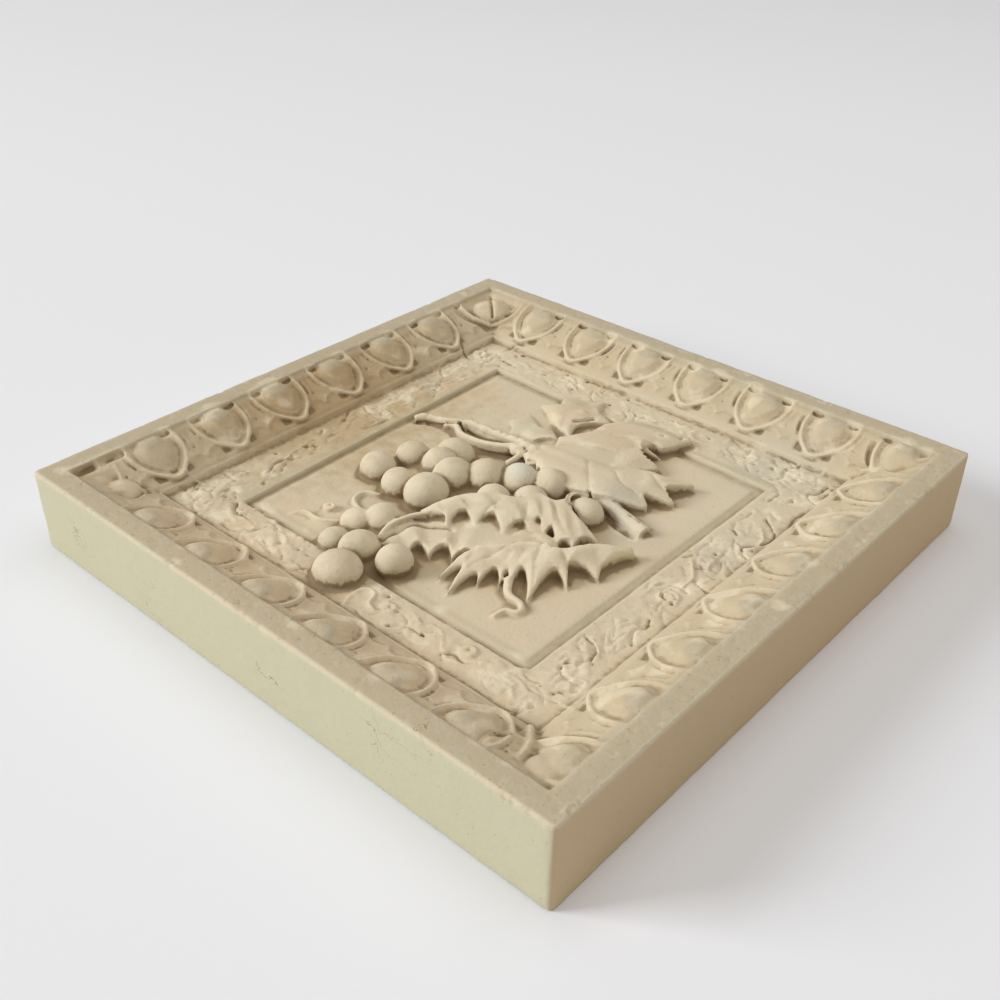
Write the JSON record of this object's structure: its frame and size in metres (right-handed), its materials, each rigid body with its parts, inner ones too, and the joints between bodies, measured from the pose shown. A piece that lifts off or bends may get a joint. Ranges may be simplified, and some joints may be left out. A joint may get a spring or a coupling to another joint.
{
  "type": "decorative wall plaque",
  "caption": "Square cast stone wall plaque with an egg-and-dart moulding, a low vine band and a panel of grapes and vine leaves in relief.",
  "frame": {"origin": "centre of the flat back face, where it lies against the wall", "axes": "+Z out of the carved face, +Y to the top of the picture as it hangs, +X to its right"},
  "size_m": [0.3, 0.3, 0.04],
  "materials": {
    "cast_stone": "matt buff cast plaster or reconstituted stone, dirt in the hollows, paler worn edges"
  },
  "bodies": {
    "root": {"plaque": "cast_stone"}
  },
  "joints": []
}
